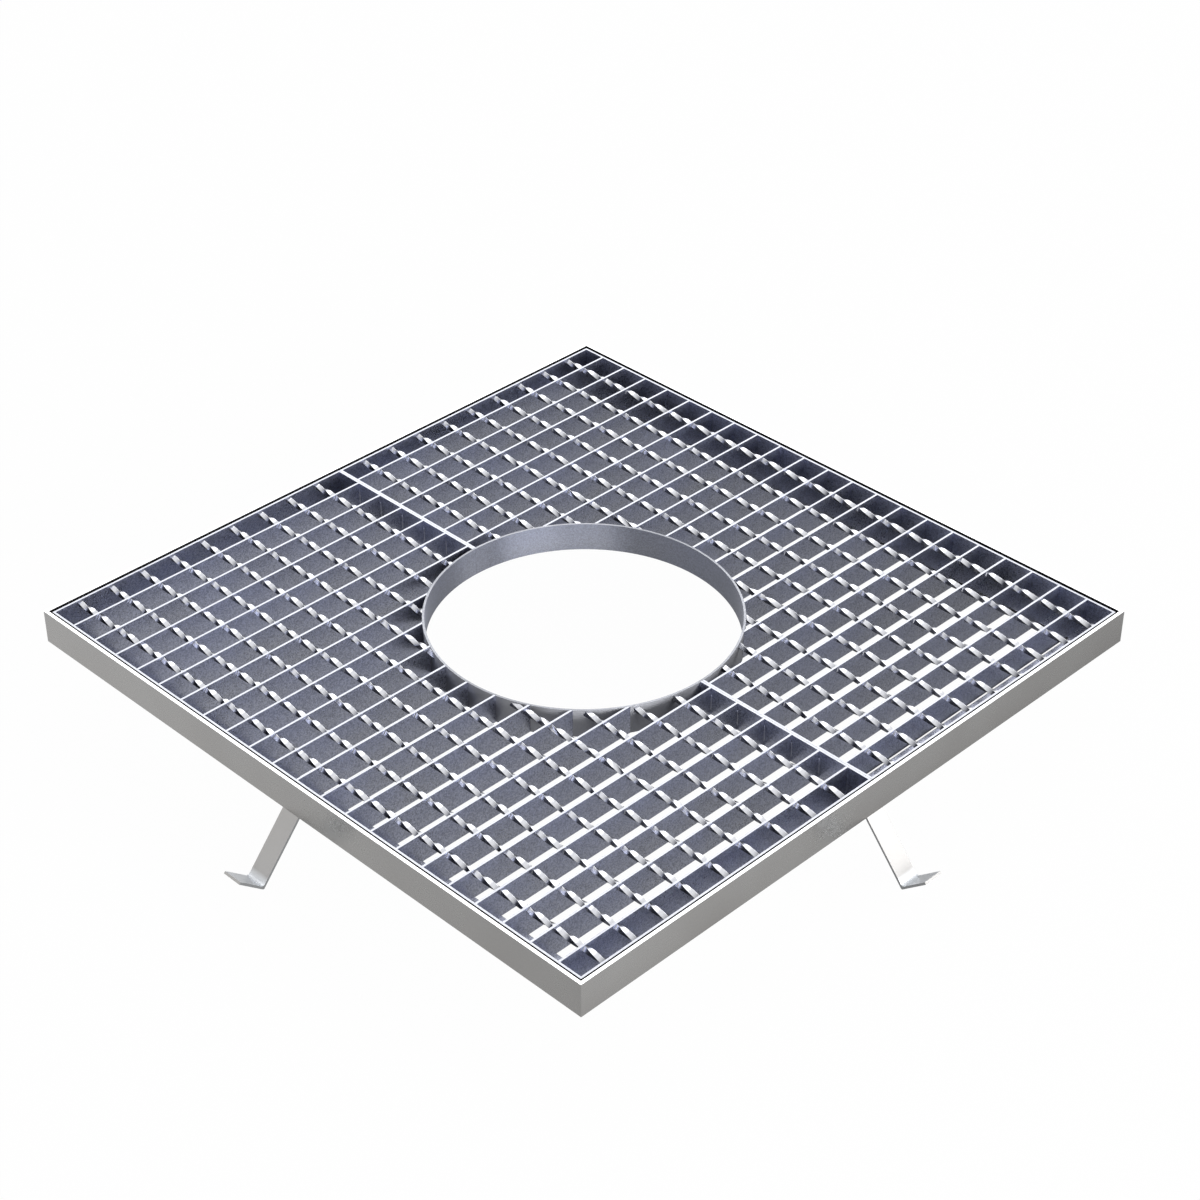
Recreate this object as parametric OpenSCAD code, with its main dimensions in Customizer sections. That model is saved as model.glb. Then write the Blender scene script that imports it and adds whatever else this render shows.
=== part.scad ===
// Square steel tree grate: an angle frame cast into the paving, with two half panels of forge-welded
// bar grating lying in it round the trunk.
// Origin: middle of the tree hole, level with the top of the bars. +Z is up, the bars run along Y.

/* [Frame] */
// Outer length of the frame along X
frame_x = 750; // [600:10:1200]
// Outer length of the frame along Y
frame_y = 750; // [600:10:1200]
// Thickness of the angle's two legs
frame_t = 4; // [3:0.5:8]
// Width of the angle's flat leg, on which the panels lie
ledge_w = 37; // [25:1:60]
// How far the rim stands above the grating
rim_rise = 1.3; // [0.5:0.1:5]
// Fillet in the angle's inner corner
root_r = 1.5; // [0.5:0.1:1.5]
// Rounding on the inner edge of each leg
toe_r = 1; // [0.3:0.1:1.4]

/* [Bearing bars] */
// Depth of the bars, the bands and the ring
bar_h = 31; // [20:1:60]
// Thickness of a bearing bar
bar_t = 2.2; // [1.5:0.1:4]
// Distance from one bearing bar to the next
bar_pitch = 33.84; // [25:0.02:45]
// Distance from the left side of the rear panel to the middle of its first bearing bar
first_bar = 27.9; // [15:0.1:35]
// Bars in the middle that the ring cuts short, each of them a node of its own
middle_bars = 9; // [1:1:9]

/* [Bands] */
// Thickness of the bands round each panel
band_t = 2.2; // [1.5:0.1:5]
// Running gap between the grating and the frame, on each side
panel_gap = 2; // [1.6:0.1:6]
// Gap between the two panels along the split
split_gap = 0.2; // [0.2:0.1:3]

/* [Cross rods] */
// Side of the square cross rod
rod_side = 5; // [3:0.1:6.5]
// Distance from one cross rod to the next
rod_pitch = 38; // [30:0.5:60]
// Distance from the split line to the first cross rod
first_rod = 33.3; // [20:0.1:40]
// Length in which a rod turns once about itself
rod_turn = 84.6; // [60:0.2:160]
// Angle of the rod's first face half way along the panel
rod_phase = 55.4; // [0:0.2:90]
// Room round a rod where it passes through a bar
rod_clear = 0.25; // [0.2:0.05:0.5]
// Steel left in a bar over the highest corner of a rod
rod_cover = 0.4; // [0.3:0.1:2]

/* [Tree hole] */
// Diameter of the tree hole
hole_d = 313.6; // [200:0.2:480]
// Thickness of the ring round the tree hole
ring_t = 2.2; // [1.5:0.1:6]

/* [Anchors] */
// Width of an anchor strap
anchor_w = 22; // [15:1:50]
// Thickness of an anchor strap
anchor_t = 2.5; // [2:0.1:5]
// Length of the sloping leg, from the frame to the bend
anchor_leg = 71; // [40:1:120]
// Length of the upturned foot, from the bend to its tip
anchor_foot = 32; // [15:1:60]
// Slope of the leg below the horizontal
anchor_slope = 50; // [35:1:75]
// Rounding inside the bend
anchor_bend_r = 3; // [1:0.5:12]
// Rounding on the heel, outside the bend
anchor_heel_r = 1.5; // [0.5:0.1:1.9]

/* [Welds] */
// Root gap left for the weld where two pieces meet
weld_gap = 0.05; // [0.02:0.01:0.2]

/* [Hidden] */
// Largest turn of a rod between two of its cross-sections
rod_step = 34;
// Cuts round off this finely, and the ring's true circle doesn't depend on it
arc_steps = 6;
$fn = 96;
// A cutting tool reaches this far past what it cuts
past = 1;

frame_h = frame_t + bar_h + rim_rise;
frame_bottom = -bar_h - frame_t;
grate_x = frame_x - 2 * (frame_t + panel_gap);
grate_y = frame_y - 2 * (frame_t + panel_gap);
panel_near = split_gap / 2;
panel_far = grate_y / 2;
bay_x = grate_x / 2 - band_t - weld_gap;
ring_r = hole_d / 2 + ring_t;
cope_r = ring_r + weld_gap;
window = rod_side + 2 * rod_clear;
rod_z = -window / sqrt(2) - rod_cover;

bar_count = floor((grate_x - first_bar) / bar_pitch - 0.25) + 1;
bar_list = [for (i = [0:bar_count - 1]) first_bar - grate_x / 2 + i * bar_pitch];
left_bars = round((grate_x / 2 - first_bar) / bar_pitch) - floor(middle_bars / 2);
next_bar = left_bars + middle_bars;
rod_count = floor((panel_far - first_rod) / rod_pitch - 0.25) + 1;
rod_list = [for (i = [0:rod_count - 1]) first_rod + i * rod_pitch];

SIDES = ["front", "right", "rear", "left"];
PANELS = ["rear", "front"];

// Points of a quarter circle about [x, y], from angle a to angle a + turn
function quarter(x, y, r, a, turn = 90) =
    [for (i = [0:arc_steps]) let (b = a + turn * i / arc_steps) [x + r * cos(b), y + r * sin(b)]];

// Turn of every rod at the place x along it, the same for all the rods of a panel
function rod_angle(x) = rod_phase + 360 * x / rod_turn;

// Corners of a square of side s about [y, z], turned as the rods are at x
function turned_square(x, y, z, s) =
    [for (i = [0:3]) [y + s / sqrt(2) * cos(rod_angle(x) + 45 + 90 * i),
                      z + s / sqrt(2) * sin(rod_angle(x) + 45 + 90 * i)]];

// Places from a to b in equal steps, none longer than rod_step of turn, without b itself
function places(a, b) =
    let (n = ceil((b - a) * 360 / rod_turn / rod_step)) [for (i = [0:n - 1]) a + (b - a) * i / n];

// A rod's cross-sections: one at each face of every bar it passes, and even steps in the bays between
rod_places = concat(
    places(-bay_x, bar_list[0] - bar_t / 2),
    [for (i = [0:bar_count - 2])
        each concat([bar_list[i] - bar_t / 2],
                    places(bar_list[i] + bar_t / 2, bar_list[i + 1] - bar_t / 2))],
    [bar_list[bar_count - 1] - bar_t / 2],
    places(bar_list[bar_count - 1] + bar_t / 2, bay_x),
    [bay_x]);

// Places the front side's piece on one of the frame's four sides
module on_side(i) {
    rotate(90 * i) translate([0, -(i % 2 == 0 ? frame_y : frame_x) / 2, 0]) children();
}

// The rear panel is modelled, and the front panel is the same one turned half round
module on_panel(p) {
    rotate(p == "rear" ? 0 : 180) children();
}

// Takes away the round place of the ring, so that an end meets the ring's outer face
module coped() {
    difference() {
        children();
        translate([0, 0, -bar_h - past]) cylinder(h = bar_h + 2 * past, r = cope_r);
    }
}

// Rolled steel angle with mitred ends, outer face at y = 0
module angle(length) {
    reach = length / 2 - weld_gap / 2;
    color("#98968f") intersection() {
        translate([-length / 2, 0, frame_bottom]) rotate([90, 0, 90]) linear_extrude(length) polygon(concat(
            [[0, 0], [ledge_w, 0]],
            quarter(ledge_w - toe_r, frame_t - toe_r, toe_r, 0),
            quarter(frame_t + root_r, frame_t + root_r, root_r, -90, -90),
            quarter(frame_t - toe_r, frame_h - toe_r, toe_r, 0),
            [[0, frame_h]]));
        translate([0, 0, frame_bottom - past]) linear_extrude(frame_h + 2 * past)
            polygon([[-reach, 0], [reach, 0], [reach - ledge_w - past, ledge_w + past],
                     [past + ledge_w - reach, ledge_w + past]]);
    }
}

// Flat strap bent to an L: a leg sloping out and down from the frame's lower edge, and an upturned foot
module anchor() {
    down = [-cos(anchor_slope), -sin(anchor_slope)];
    up = [-sin(anchor_slope), cos(anchor_slope)];
    inner = anchor_leg * down;
    outer = inner + anchor_t * (down - up);
    in_mid = inner + anchor_bend_r * (up - down);
    out_mid = outer + anchor_heel_r * (up - down);
    color("#a8a6a2") translate([anchor_w / 2, 0, frame_bottom - weld_gap])
        rotate([90, 0, -90]) linear_extrude(anchor_w) mirror([1, 0]) polygon(concat(
            [[0, 0]],
            quarter(in_mid[0], in_mid[1], anchor_bend_r, anchor_slope - 90, -90),
            [inner + anchor_foot * up, inner + anchor_foot * up + anchor_t * down],
            quarter(out_mid[0], out_mid[1], anchor_heel_r, anchor_slope + 180, 90),
            [[anchor_t / sin(anchor_slope), 0]]));
}

// Upright flat bar from one corner of its plan to the other
module flat(a, b) {
    translate([a[0], a[1], -bar_h]) cube([b[0] - a[0], b[1] - a[1], bar_h]);
}

// Band across the bar ends that lie on the frame
module outer_band() {
    color("#c9ccd6") flat([-grate_x / 2, panel_far - band_t], [grate_x / 2, panel_far]);
}

// Band along a side of the panel, between the outer band and the split
module side_band(way) {
    x = way < 0 ? -grate_x / 2 : grate_x / 2 - band_t;
    color("#c9ccd6") flat([x, panel_near], [x + band_t, panel_far - band_t - weld_gap]);
}

// The two bands along the split, each from the ring to a side band
module split_bands() {
    color("#c9ccd6") coped() for (way = [-1, 1])
        flat([way < 0 ? -bay_x : 0, panel_near], [way < 0 ? 0 : bay_x, panel_near + band_t]);
}

// Half of the ring round the trunk, rolled from flat bar
module half_ring() {
    color("#a6a9b4") translate([0, 0, -bar_h]) intersection() {
        difference() {
            cylinder(h = bar_h, r = ring_r);
            translate([0, 0, -past]) cylinder(h = bar_h + 2 * past, d = hole_d);
        }
        translate([-ring_r - past, panel_near, -past])
            cube([2 * (ring_r + past), ring_r + past, bar_h + 2 * past]);
    }
}

// Flat bar of full length at x, with a turned square window for each cross rod
module windowed_bar(x) {
    near = panel_near + band_t + weld_gap;
    far = panel_far - band_t - weld_gap;
    color("#c9ccd6") translate([x - bar_t / 2, 0, 0]) rotate([90, 0, 90]) linear_extrude(bar_t) polygon(
        concat([[near, -bar_h], [far, -bar_h], [far, 0], [near, 0]],
               [for (y = rod_list) each turned_square(x, y, rod_z, window)]),
        [for (i = [0:rod_count]) [for (j = [0:3]) 4 * i + j]]);
}

// The bearing bars from number a to number b, cut off at the ring where they reach it
module bearing_bars(a, b) {
    for (i = [a:b]) {
        if (abs(bar_list[i]) < cope_r + bar_t / 2) coped() windowed_bar(bar_list[i]);
        else windowed_bar(bar_list[i]);
    }
}

// One of the middle bars, counted from the left
module short_bar(i) {
    bearing_bars(left_bars + i - 1, left_bars + i - 1);
}

// Square rod twisted along its whole length, with its cross-sections at the given places
module twisted_rod(y, xs) {
    n = len(xs);
    color("#e2e3e8") polyhedron(
        [for (x = xs) for (c = turned_square(x, y, rod_z, rod_side)) [x, c[0], c[1]]],
        concat([[0, 1, 2, 3]],
               [for (i = [0:n - 2]) for (j = [0:3]) let (a = 4 * i + j, b = 4 * i + (j + 1) % 4)
                   each [[a, b + 4, b], [a, a + 4, b + 4]]],
               [[for (j = [3:-1:0]) 4 * (n - 1) + j]]));
}

// A rod from side band to side band through the bars' windows, in two pieces where the ring interrupts it
module cross_rod(i) {
    y = rod_list[i - 1];
    corner = y + rod_side / sqrt(2);
    cut = corner < cope_r ? sqrt(cope_r ^ 2 - corner ^ 2) - rod_turn * rod_step / 360 : 0;
    inside = cut > 0 ? cut : y < cope_r ? sqrt(cope_r ^ 2 - y ^ 2) : 0;
    if (inside > 0) coped() for (way = [-1, 1])
        twisted_rod(y, [for (x = rod_places) if (way * x > inside) x]);
    else if (y < cope_r + rod_side) coped() twisted_rod(y, rod_places);
    else twisted_rod(y, rod_places);
}

for (i = [0:3]) on_side(i) {
    angle(i % 2 == 0 ? frame_x : frame_y);
    anchor();
}
for (p = PANELS) on_panel(p) {
    outer_band();
    side_band(-1);
    side_band(1);
    split_bands();
    half_ring();
    bearing_bars(0, left_bars - 1);
    bearing_bars(next_bar, bar_count - 1);
    for (i = [1:middle_bars])
        short_bar(i);
    for (i = [1:rod_count])
        cross_rod(i);
}
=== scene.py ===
import math

import bpy
import numpy as np
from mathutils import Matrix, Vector


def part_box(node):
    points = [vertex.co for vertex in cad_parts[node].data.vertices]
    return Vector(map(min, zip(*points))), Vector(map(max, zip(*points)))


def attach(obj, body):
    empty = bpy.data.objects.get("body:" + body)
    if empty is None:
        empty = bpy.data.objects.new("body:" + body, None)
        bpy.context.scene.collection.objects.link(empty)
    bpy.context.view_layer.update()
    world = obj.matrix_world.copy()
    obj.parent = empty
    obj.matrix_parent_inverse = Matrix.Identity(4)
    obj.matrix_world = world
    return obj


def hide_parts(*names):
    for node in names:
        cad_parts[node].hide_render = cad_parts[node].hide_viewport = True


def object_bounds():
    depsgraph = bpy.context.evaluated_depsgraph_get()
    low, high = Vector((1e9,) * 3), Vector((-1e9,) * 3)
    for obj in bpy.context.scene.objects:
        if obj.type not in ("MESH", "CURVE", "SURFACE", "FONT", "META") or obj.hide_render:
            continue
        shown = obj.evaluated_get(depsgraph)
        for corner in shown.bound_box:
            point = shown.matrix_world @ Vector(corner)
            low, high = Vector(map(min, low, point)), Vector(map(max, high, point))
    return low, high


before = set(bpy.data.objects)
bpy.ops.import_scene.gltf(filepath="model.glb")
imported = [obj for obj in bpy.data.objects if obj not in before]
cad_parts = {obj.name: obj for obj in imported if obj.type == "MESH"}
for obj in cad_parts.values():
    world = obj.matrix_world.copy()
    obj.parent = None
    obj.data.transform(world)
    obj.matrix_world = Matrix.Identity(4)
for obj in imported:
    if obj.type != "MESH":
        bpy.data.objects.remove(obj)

cad_box = [list(corner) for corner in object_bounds()]


# Stage: a plain white floor under the anchors' bends, two soft boxes behind the grate and two low
# ones at its right, and a camera with a long lens where the photograph was taken from.
white = (1.0, 1.0, 1.0, 1.0)
floor_drop = 0.0005
floor_half = 30.0
floor_paint = (0.8, 0.8, 0.8, 1.0)
floor_shadow = 0.02
mirrored_front = 0.93
mirrored_back = 0.38
mirrored_right = 0.27
mirrored_reach = 0.9
right_edge = (0.40, 0.45)
world_white = 1.0
world_light = 0.33
camera_place = (1.5216, -1.4995, 1.5109)
camera_tilt = math.radians(54.99)
camera_turn = math.radians(45.0)
camera_lens = 79.97
camera_sensor = 36.0
mixed_colour = 2


class Wire:
    """A value on its way through a material. + - and * between wires and numbers add Math nodes."""

    def __init__(self, socket):
        self.socket = socket

    def node(self, kind, settings=None, output=0, **inputs):
        """A new node beside this wire: settings are set first, then inputs are set or linked."""
        tree = self.socket.id_data
        made = tree.nodes.new("ShaderNode" + kind)
        for name, value in (settings or {}).items():
            setattr(made, name, value)
        for name, value in inputs.items():
            socket = next(socket for socket in made.inputs
                          if name in (socket.identifier, socket.name.replace(" ", "_")))
            if isinstance(value, Wire):
                tree.links.new(value.socket, socket)
            else:
                socket.default_value = value
        return Wire(made.outputs[output])

    def math(self, operation, one, two):
        return self.node("Math", {"operation": operation}, Value=one, Value_001=two)

    def __add__(self, other):
        return self.math("ADD", self, other)

    def __sub__(self, other):
        return self.math("SUBTRACT", self, other)

    def __mul__(self, other):
        return self.math("MULTIPLY", self, other)

    def __rsub__(self, other):
        return self.math("SUBTRACT", other, self)

    __radd__ = __add__
    __rmul__ = __mul__

    def dot(self, other):
        """The dot product of this vector with another one."""
        return self.node("VectorMath", {"operation": "DOT_PRODUCT"}, "Value",
                         Vector=self, Vector_001=other)

    def part(self, axis):
        """The X, Y or Z of a vector, or of a colour's red, green and blue."""
        return self.node("SeparateXYZ", None, axis, Vector=self)

    def between(self, low, high):
        """0 where this value is low, 1 where it is high, with a straight line in between."""
        return self.node("MapRange", Value=self, From_Min=low, From_Max=high)

    def blend(self, first, second):
        """The colour first where this value is 0 and second where it is 1."""
        return self.node("Mix", {"data_type": "RGBA"}, mixed_colour,
                         Factor_Float=self, A_Color=first, B_Color=second)

    def tint(self, other):
        """This colour times another one."""
        return self.node("Mix", {"data_type": "RGBA", "blend_type": "MULTIPLY"}, mixed_colour,
                         Factor_Float=1.0, A_Color=self, B_Color=other)


def emptied(tree, kind):
    """The output node of a node tree that has lost all its other nodes."""
    tree.nodes.clear()
    return tree.nodes.new("ShaderNodeOutput" + kind)


def seen_by(out):
    """Two wires: 1 for rays from the camera, and 1 for rays off shiny surfaces or through glass."""
    path = Wire(out.inputs["Surface"])
    seen, glossy, through = (path.node("LightPath", None, name)
                             for name in ("Is Camera Ray", "Is Glossy Ray", "Is Transmission Ray"))
    return seen, seen.math("MAXIMUM", glossy, through)


def floor_finish():
    """White where it is looked at, apart from a faint share of plain paint that keeps the shadow.
    What steel mirrors of it is painted light: it falls off from the front left to the back right,
    where the room is dimmer, and a painted pool of light makes it a little lighter beyond the
    object's right edge."""
    material = bpy.data.materials.new("pale_floor")
    material.use_nodes = True
    out = emptied(material.node_tree, "Material")
    place = Wire(out.inputs["Surface"]).node("TexCoord", None, "Object")
    x, y = place.part("X"), place.part("Y")
    further = (x + y).between(-mirrored_reach, mirrored_reach)
    seen, shiny = seen_by(out)
    mirrored = further * (mirrored_back - mirrored_front) + x.between(*right_edge) * mirrored_right
    glow = seen + shiny * (mirrored + mirrored_front)
    paint = place.node("BsdfDiffuse", Color=floor_paint)
    shining = place.node("Emission", Color=white, Strength=glow)
    mixed = place.node("MixShader", Fac=seen * (1.0 - floor_shadow) + shiny,
                       Shader=paint, Shader_001=shining)
    material.node_tree.links.new(mixed.socket, out.inputs["Surface"])
    return material


def soft_box(name, place, width, height, power):
    """A rectangular lamp at place that faces the middle of the grate."""
    lamp = bpy.data.lights.new(name, "AREA")
    lamp.shape = "RECTANGLE"
    lamp.size = width
    lamp.size_y = height
    lamp.energy = power
    box = bpy.data.objects.new(name, lamp)
    box.location = place
    box.rotation_euler = (-Vector(place)).to_track_quat("-Z", "Y").to_euler()
    box.visible_camera = False
    bpy.context.scene.collection.objects.link(box)


floor_level = cad_box[0][2] - floor_drop
floor_corners = [(x * floor_half, y * floor_half, floor_level)
                 for x, y in ((-1, -1), (1, -1), (1, 1), (-1, 1))]
ground = bpy.data.meshes.new("floor")
ground.from_pydata(floor_corners, [], [(0, 1, 2, 3)])
ground.materials.append(floor_finish())
floor = bpy.data.objects.new("floor", ground)
bpy.context.scene.collection.objects.link(floor)

world = bpy.data.worlds.new("studio")
bpy.context.scene.world = world
world.use_nodes = True
world_out = emptied(world.node_tree, "World")
sky_seen, sky_shiny = seen_by(world_out)
sky_strength = (sky_seen + sky_shiny) * (world_white - world_light) + world_light
sky = sky_seen.node("Background", Color=white, Strength=sky_strength)
world.node_tree.links.new(sky.socket, world_out.inputs["Surface"])

soft_box("left_back_box", place=(-3.6, 3.6, 3.4), width=5.0, height=5.0, power=165.0)
soft_box("right_back_box", place=(5.2, 4.6, 3.8), width=2.4, height=2.1, power=165.0)
soft_box("right_box", place=(5.7, -1.0, 1.2), width=4.6, height=1.6, power=310.0)
soft_box("right_front_box", place=(3.8, -4.5, 1.2), width=3.4, height=1.6, power=170.0)

view = bpy.data.cameras.new("view")
view.lens = camera_lens
view.sensor_width = camera_sensor
camera = bpy.data.objects.new("view", view)
camera.location = camera_place
camera.rotation_euler = (camera_tilt, 0.0, camera_turn)
bpy.context.scene.collection.objects.link(camera)
bpy.context.scene.camera = camera
bpy.context.scene.view_settings.view_transform = "Standard"


# Frame: four rolled steel angles with mitred, welded corners, pickled to a warm even grey. The top
# of the rim round the panels is painted lighter as a highlight, and its faces that look inwards
# towards the panels are painted near black as shade.
frame_grey = (0.37, 0.361, 0.351, 1.0)
frame_rim = (0.80, 0.80, 0.80, 1.0)
frame_cool = (0.98, 1.0, 1.02, 1.0)
rim_inside = (-0.10, -0.22)
grime = (0.035, 0.035, 0.038, 1.0)
upward = (0.0, 0.0, 1.0)
on_top = (0.85, 0.98)
nowhere = (1.0, 2.0)
everywhere = (-2.0, -1.0)
spangle_scale = 950.0
cloud_scale = 11.0
cloud_detail = 2.0
cloud_range = (0.3, 0.7)
cool_heights = (-0.024, 0.0)
cool_clouds = (0.35, 0.65)
cool_by_height = 0.4
cool_by_spangle = 0.3
cool_by_cloud = 0.3
rough_spread = 0.15
relief_strength = 0.3
relief_depth = 0.00003
quarter_turn = 0.25


def tinted(colour, factor):
    """The colour with its three parts multiplied by factor."""
    return tuple(part * factor for part in colour[:3]) + (1.0,)


def steel(name, light, shade, grain, roughness, metallic, top, worn=on_top, worn_way=upward,
          apart=nowhere, other=grime, other_above=everywhere, below=nowhere, cool=white, rolled=0.0,
          edge=1.0):
    """Steel between the colour light and shade times light, by a fine spangle for the share grain
    and by a slow cloud for the rest. It turns to the colour top, a painted highlight, where the
    normal's part along worn_way goes through the pair worn, or where the height goes through the
    pair below, a painted glow. It turns to the colour other where the normal times the place in
    metres goes through the pair apart, which tells upright faces by their distance from the middle,
    and the height goes through the pair other_above; by default other is painted shade for the gap
    along the frame. cool tints the upper parts, rolled draws highlights out upwards and edge dims
    the grazing reflection."""
    material = bpy.data.materials.new(name)
    material.use_nodes = True
    out = emptied(material.node_tree, "Material")
    place = Wire(out.inputs["Surface"]).node("TexCoord", None, "Object")
    facing = place.node("NewGeometry", None, "Normal")
    high = place.part("Z")
    cells = place.node("TexVoronoi", None, "Color", Vector=place, Scale=spangle_scale)
    fine, hue = cells.part("X"), cells.part("Y")
    cloud = place.node("TexNoise", Vector=place, Scale=cloud_scale, Detail=cloud_detail)

    mottle = fine * grain + cloud.between(*cloud_range) * (1.0 - grain)
    cooler = (high.between(*cool_heights) * cool_by_height + hue * cool_by_spangle
              + cloud.between(*cool_clouds) * cool_by_cloud)
    tone = mottle.blend(tinted(light, shade), light).tint(cooler.blend(white, cool))
    aside = facing.dot(place).between(*apart) * high.between(*other_above)
    bright = place.math("MAXIMUM", facing.dot(worn_way).between(*worn),
                        high.between(*below) * (1.0 - aside))
    colour = bright.blend(aside.blend(tone, other), top)

    rough = (fine - 0.5) * (rough_spread * grain) + (cloud - 0.5) * rough_spread + roughness
    relief = place.node("Bump", Strength=relief_strength * grain, Distance=relief_depth,
                        Height=fine)
    shader = place.node("BsdfPrincipled", Base_Color=colour, Metallic=metallic, Roughness=rough,
                        Anisotropic=rolled, Anisotropic_Rotation=quarter_turn,
                        Specular_Tint=tinted(white, edge), Normal=relief)
    material.node_tree.links.new(shader.socket, out.inputs["Surface"])
    return material


def dress(node, material):
    """Gives a carried-over node its finish."""
    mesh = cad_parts[node].data
    mesh.materials.clear()
    mesh.materials.append(material)


SIDES = ("front", "right", "rear", "left")
PANELS = ("rear", "front")
frame_steel = steel("frame_steel", frame_grey, shade=0.9, grain=0.15, roughness=0.26, metallic=0.95,
                    top=frame_rim, apart=rim_inside, cool=frame_cool)
for side in SIDES:
    dress(side + "_angle", frame_steel)


# Anchors: four straps of the same pickled steel, bent to an L and welded under the frame, that the
# concrete round the tree pit holds on to. Their sheared edges and inner faces stay dark. Their
# feet, which face upwards, and the inside of each bend carry a painted highlight.
anchor_grey = (0.43, 0.422, 0.415, 1.0)
anchor_bright = (0.93, 0.96, 1.0, 1.0)
anchor_edge = (0.21, 0.215, 0.22, 1.0)
foot_turned = (0.66, 0.80)
edge_inside = (0.05, 0.012)
bend_level = cad_box[0][2] + 0.0035
near_bend = (bend_level + 0.007, bend_level)
anchor_steel = steel("anchor_steel", anchor_grey, shade=0.9, grain=0.15, roughness=0.34,
                     metallic=0.5, top=anchor_bright, worn=foot_turned, apart=edge_inside,
                     other=anchor_edge, below=near_bend)
for side in SIDES:
    dress(side + "_anchor", anchor_steel)


# Bars and bands: flat bars of hot-dip galvanised steel, blue-grey, with a painted highlight on
# their tops. The bars are welded to the bands, whose outer faces are painted near black as shade in
# the mouth of the gap along the frame.
bar_blue = (0.425, 0.435, 0.485, 1.0)
bar_cool = (0.87, 0.93, 1.20, 1.0)
bar_top = (0.38, 0.39, 0.425, 1.0)
in_the_gap = (0.36, 0.368)
gap_mouth = (-0.016, -0.006)
bar_steel = steel("bar_steel", bar_blue, shade=0.4, grain=0.85, roughness=0.34, metallic=0.95,
                  top=bar_top, apart=in_the_gap, other_above=gap_mouth, cool=bar_cool)
for panel in PANELS:
    for piece in ("outer_band", "left_band", "right_band", "split_bands",
                  "left_bars", "right_bars"):
        dress(panel + "_" + piece, bar_steel)
for name in sorted(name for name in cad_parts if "_short_bar_" in name):
    dress(name, bar_steel)


# Ring: two halves rolled from flat bar and welded to the bars that they cut. The rolls leave a
# faint upright brushing. Its outer face is painted a little lighter than the inner one as painted
# reflection, and its top gets the bars' painted highlight.
ring_grey = (0.26, 0.27, 0.31, 1.0)
ring_outer = (0.28, 0.285, 0.308, 1.0)
ring_cool = (0.94, 0.97, 1.08, 1.0)
ring_outside = (0.05, 0.15)
ring_steel = steel("ring_steel", ring_grey, shade=0.6, grain=0.8, roughness=0.50, metallic=0.85,
                   top=bar_top, apart=ring_outside, other=ring_outer, cool=ring_cool, rolled=0.95)
for panel in PANELS:
    dress(panel + "_half_ring", ring_steel)


# Cross rods: square steel rods, each twisted along its whole length and forged into the bars. Those
# that the ring interrupts are cut off round its outer face.
rod_side = 0.005
rod_edge = 0.00015
edge_points = 2
rod_turn = 0.0846
rod_phase = math.radians(55.4)
rod_step = 0.0023
rod_smooth = math.radians(15)
ring_room = 0.00005
ring_passes = 60
# The rods' facets that turn up and a little towards the front carry a painted highlight, and the
# rest are painted in shade.
rod_bright = (0.74, 0.75, 0.79, 1.0)
rod_dark = (0.20, 0.205, 0.23, 1.0)
rod_worn = (0.48, 0.88)
rod_worn_way = (0.0, -0.087, 0.996)
rod_edge_shine = 0.15


def rounded_square(side, edge):
    """Points round a square: each corner is an arc of radius edge about a centre inside it."""
    corner = np.repeat(np.arange(4), edge_points) * math.pi / 2
    turn = corner + np.tile(np.linspace(0.0, math.pi / 2, edge_points), 4)
    reach = (side / 2 - edge) * math.sqrt(2)
    across = reach * np.cos(corner + math.pi / 4) + edge * np.cos(turn)
    rise = reach * np.sin(corner + math.pi / 4) + edge * np.sin(turn)
    return across, rise


def twisted(x, axis_y, axis_z, across, rise):
    """Profile points at x along the rod: turned by rod_phase and by a full turn each rod_turn."""
    angle = rod_phase + 2 * math.pi * x / rod_turn
    y = axis_y + across * np.cos(angle) - rise * np.sin(angle)
    z = axis_z + across * np.sin(angle) + rise * np.cos(angle)
    return y, z


def on_ring(axis_y, axis_z, across, rise, radius, way):
    """The x at which each profile point's twisted line meets the ring, x = sqrt(radius^2 - y(x)^2),
    found by going half way to that value ring_passes times."""
    x = np.full(len(across), way * math.sqrt(radius ** 2 - axis_y ** 2))
    for _ in range(ring_passes):
        y = twisted(x, axis_y, axis_z, across, rise)[0]
        x = (x + way * np.sqrt(radius ** 2 - y ** 2)) / 2
    return x


def rod_length(start, end, axis_y, axis_z, across, rise):
    """Twisted rod between start and end, two rows of x, as a grid of stations by profile points."""
    stations = int(np.ceil(abs(np.mean(end) - np.mean(start)) / rod_step)) + 1
    share = np.linspace(0.0, 1.0, stations)[:, None]
    x = start[None, :] * (1 - share) + end[None, :] * share
    y, z = twisted(x, axis_y, axis_z, across[None, :], rise[None, :])
    return np.stack([x, y, z], axis=-1)


def tube_faces(rows, points):
    """Quads between neighbouring rows of a closed loop of points, and one face over each end."""
    row = np.arange(rows - 1)[:, None] * points
    here = np.arange(points)[None, :]
    after = (here + 1) % points
    quads = np.stack([row + here, row + after, row + after + points, row + here + points], axis=-1)
    ends = [list(range(points))[::-1], list(range((rows - 1) * points, rows * points))]
    return quads.reshape(-1, 4).tolist() + ends


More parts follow.
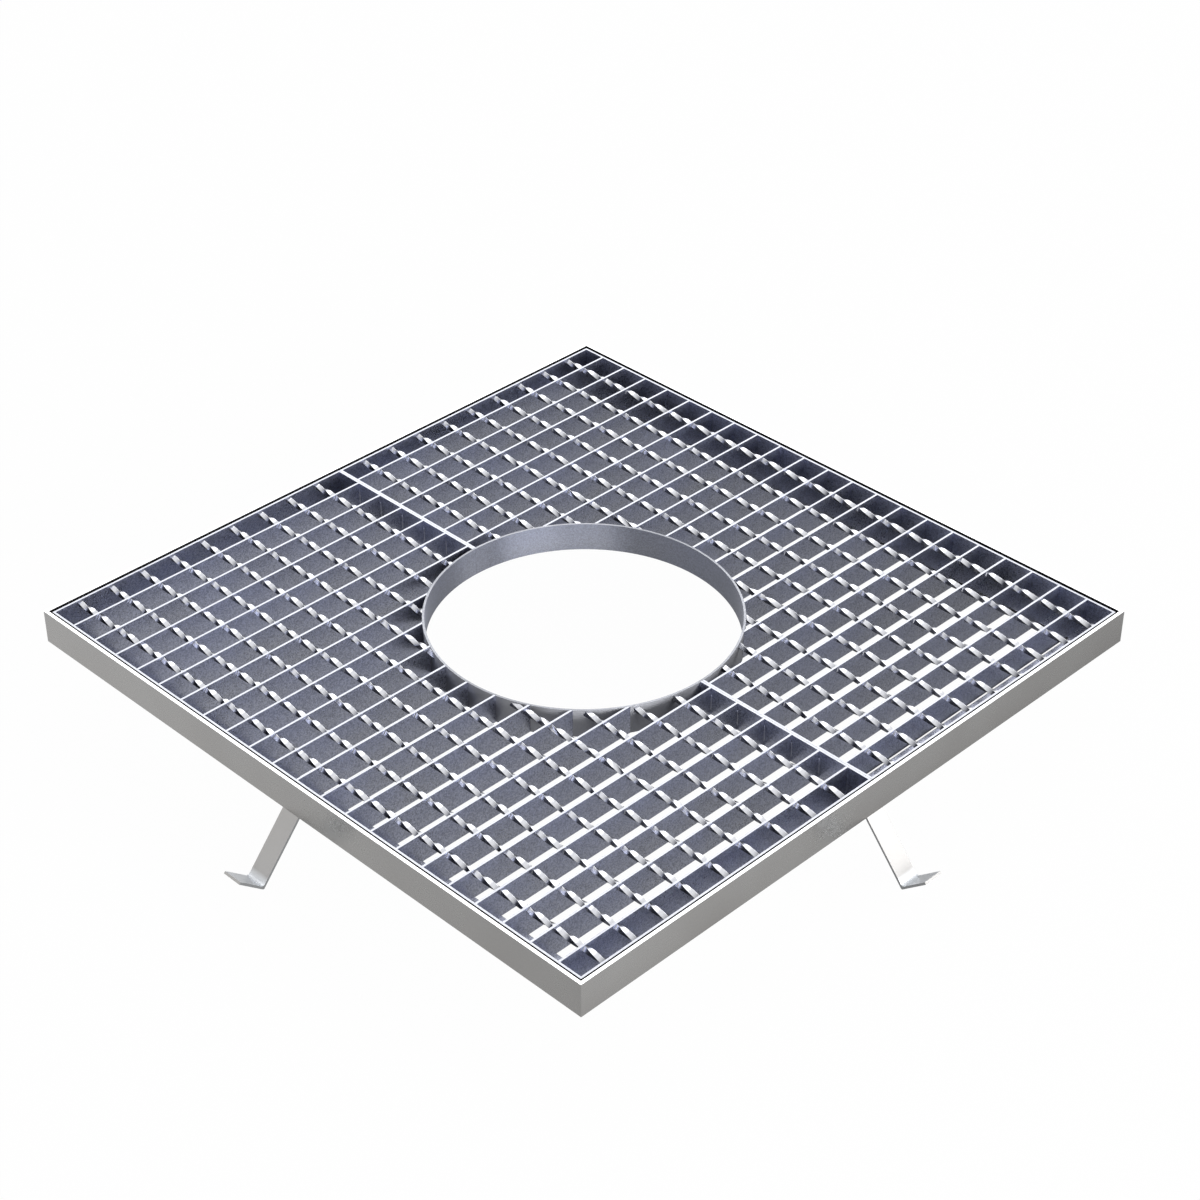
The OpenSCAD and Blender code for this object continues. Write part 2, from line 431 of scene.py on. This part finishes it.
def add_piece(name, grids, material, body, smooth_angle):
    """One object riding on body, made of tubes, each a grid of stations by points round it."""
    points, faces, base = [], [], 0
    for grid in grids:
        points.append(grid.reshape(-1, 3))
        faces += [[base + corner for corner in face] for face in tube_faces(*grid.shape[:2])]
        base += len(points[-1])
    mesh = bpy.data.meshes.new(name)
    mesh.from_pydata(np.concatenate(points).tolist(), [], faces)
    mesh.materials.append(material)
    mesh.shade_smooth()
    mesh.set_sharp_from_angle(angle=smooth_angle)
    piece = bpy.data.objects.new(name, mesh)
    bpy.context.scene.collection.objects.link(piece)
    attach(piece, body)
    return piece


def half_turned(grids, panel):
    """The rear panel's grids as they are, or turned half round for the front panel."""
    turn = np.array([1.0, 1.0, 1.0] if panel == "rear" else [-1.0, -1.0, 1.0])
    return [grid * turn for grid in grids]


rod_steel = steel("rod_steel", rod_dark, shade=0.7, grain=0.5, roughness=0.28, metallic=0.95,
                  top=rod_bright, worn=rod_worn, worn_way=rod_worn_way, edge=rod_edge_shine)
ring_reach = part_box("rear_half_ring")[1].x + ring_room
across, rise = rounded_square(rod_side, rod_edge)
rod_axes = []
for name in sorted(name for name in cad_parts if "rear_cross_rod_" in name):
    low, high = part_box(name)
    axis_y, axis_z = (low.y + high.y) / 2, (low.z + high.z) / 2
    rod_axes.append((axis_y, axis_z, high.x))
    left, right = (np.full(len(across), x) for x in (low.x, high.x))
    if axis_y + rod_side < ring_reach:
        spans = [(left, on_ring(axis_y, axis_z, across, rise, ring_reach, -1)),
                 (on_ring(axis_y, axis_z, across, rise, ring_reach, 1), right)]
    else:
        spans = [(left, right)]
    lengths = [rod_length(start, end, axis_y, axis_z, across, rise) for start, end in spans]
    for panel in PANELS:
        node = name.replace("rear", panel)
        piece = add_piece(node.replace("cross", "twisted"), half_turned(lengths, panel), rod_steel,
                          panel + "_panel", rod_smooth)
        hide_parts(node)


# Forge flash: where a rod goes through a bar or ends on a band, hot steel is squeezed out into a
# thin collar round it, which closes the window. None shows where the ring cuts the bar away.
flash_side = 0.0058
flash_edge = 0.000725
flash_reach = 0.0009
flash_rows = ((-0.0001, 1.0), (0.0002, 0.95), (flash_reach, 0.84))
flash_room = 0.0055
flash_smooth = math.radians(30)
flash_grey = (0.26, 0.265, 0.29, 1.0)
bar_first = 0.0279
bar_pitch = 0.03384
bar_half = 0.0011


def flash(face, way, axis_y, axis_z):
    """Collar that stands way along X from a bar's face: squares that taper and turn as the rod."""
    square, high = rounded_square(flash_side, flash_edge)
    rows = []
    for reach, share in flash_rows[::way]:
        x = np.full(len(square), face + way * reach)
        y, z = twisted(x, axis_y, axis_z, square * share, high * share)
        rows.append(np.stack([x, y, z], axis=-1))
    return np.stack(rows)


flash_steel = steel("flash_steel", flash_grey, shade=0.7, grain=0.5, roughness=0.34, metallic=0.95,
                    top=flash_grey, edge=rod_edge_shine)
outer_low, outer_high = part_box("rear_outer_band")
bar_count = int((outer_high.x - outer_low.x - bar_first) / bar_pitch) + 1
bar_middles = outer_low.x + bar_first + bar_pitch * np.arange(bar_count)
bar_faces = [(middle + way * bar_half, way) for middle in bar_middles for way in (-1, 1)]
collars = []
for axis_y, axis_z, rod_end in rod_axes:
    for face, way in bar_faces + [(-rod_end, 1), (rod_end, -1)]:
        if math.hypot(face + way * flash_reach, axis_y) > ring_reach + flash_room:
            collars.append(flash(face, way, axis_y, axis_z))
for panel in PANELS:
    add_piece(panel + "_forge_flash", half_turned(collars, panel), flash_steel,
              panel + "_panel", flash_smooth)


# Welds: stitch beads that hold the bars' ends to the bands, seams under the frame's mitred corners
# and a bead behind each anchor's root, all on sides that the ground or the next bar hides.
stitch_radius = 0.0011
stitch_from = -0.026
stitch_to = -0.008
seam_radius = 0.0016
seam_in = 0.004
ripple_pitch = 0.0018
ripple_depth = 0.12
ripple_stations = 2
bead_stations = 6
bead_points = 6
bead_power = 8
bead_end = 1.02
weld_smooth = math.radians(50)
weld_grey = (0.34, 0.348, 0.388, 1.0)


def bead(start, end, radius):
    """Weld bead: a tube along a line. Its radius is multiplied by 1 - ripple_depth * the part of a
    ripple left behind, and by sqrt(bead_end - s^bead_power), for s from -1 to 1 along it, which
    narrows its ends."""
    start, end = np.array(start), np.array(end)
    length = np.linalg.norm(end - start)
    stations = max(bead_stations, int(length / ripple_pitch * ripple_stations))
    share = np.linspace(0.0, 1.0, stations)
    ripple = 1.0 - ripple_depth * ((share * length / ripple_pitch) % 1.0)
    width = radius * ripple * np.sqrt(bead_end - (2 * share - 1) ** bead_power)
    axis = (end - start) / length
    side = np.cross(axis, (0.0, 1.0, 0.0) if abs(axis[2]) > abs(axis[1]) else (0.0, 0.0, 1.0))
    side /= np.linalg.norm(side)
    over = np.cross(axis, side)
    turn = np.linspace(0.0, 2 * math.pi, bead_points, endpoint=False)
    ring = np.cos(turn)[:, None] * side + np.sin(turn)[:, None] * over
    return start + share[:, None, None] * (end - start) + width[:, None, None] * ring[None, :, :]


# The beads' upward faces get the bars' painted top highlight.
weld_steel = steel("weld_steel", weld_grey, shade=0.6, grain=0.6, roughness=0.45, metallic=0.7,
                   top=bar_top, cool=bar_cool)
split_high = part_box("rear_split_bands")[1]
stitches = []
for middle in bar_middles:
    x = middle - bar_half
    ends = [outer_low.y] if abs(middle) < ring_reach else [outer_low.y, split_high.y]
    stitches += [bead((x, y, stitch_from), (x, y, stitch_to), stitch_radius) for y in ends]
for panel in PANELS:
    add_piece(panel + "_stitch_welds", half_turned(stitches, panel), weld_steel,
              panel + "_panel", weld_smooth)

angle_low, angle_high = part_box("front_angle")
root_low, root_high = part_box("front_anchor")
outer = angle_low.x + seam_in
inner = angle_low.x + angle_high.y - angle_low.y - seam_in
mitre = bead((outer, outer, angle_low.z), (inner, inner, angle_low.z), seam_radius)
root = bead((root_low.x + seam_in, root_high.y, angle_low.z),
            (root_high.x - seam_in, root_high.y, angle_low.z), seam_radius)
seams = []
for quarter in range(4):
    cos, sin = math.cos(quarter * math.pi / 2), math.sin(quarter * math.pi / 2)
    turned = np.array([[cos, sin, 0.0], [-sin, cos, 0.0], [0.0, 0.0, 1.0]])
    seams += [mitre @ turned, root @ turned]
add_piece("frame_welds", seams, frame_steel, "frame", weld_smooth)
